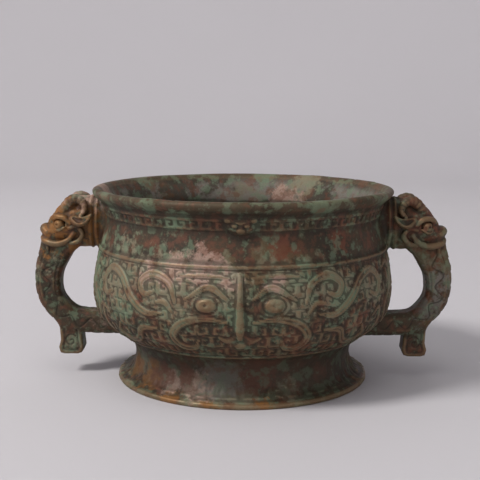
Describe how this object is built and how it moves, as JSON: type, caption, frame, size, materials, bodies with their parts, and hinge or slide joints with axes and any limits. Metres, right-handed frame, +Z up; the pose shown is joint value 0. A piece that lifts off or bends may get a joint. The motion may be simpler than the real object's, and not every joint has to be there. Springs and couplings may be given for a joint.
{
  "type": "bronze censer",
  "caption": "Squat round cast bronze censer in the form of an archaic food vessel, with an everted lip, a flared foot, beast-head loop handles and mask relief.",
  "frame": {"origin": "centre of the foot ring's underside, on the vessel's axis", "axes": "+X to the viewer's right through the handles, +Y to the back, +Z up along the vessel's axis; the masks face -Y and +Y"},
  "size_m": [0.245, 0.1784, 0.1125],
  "materials": {
    "bronze": "old cast bronze under a matt mottled patina of dark brown, olive green, red-brown and buff"
  },
  "bodies": {
    "root": {"censer": "bronze"}
  },
  "joints": []
}
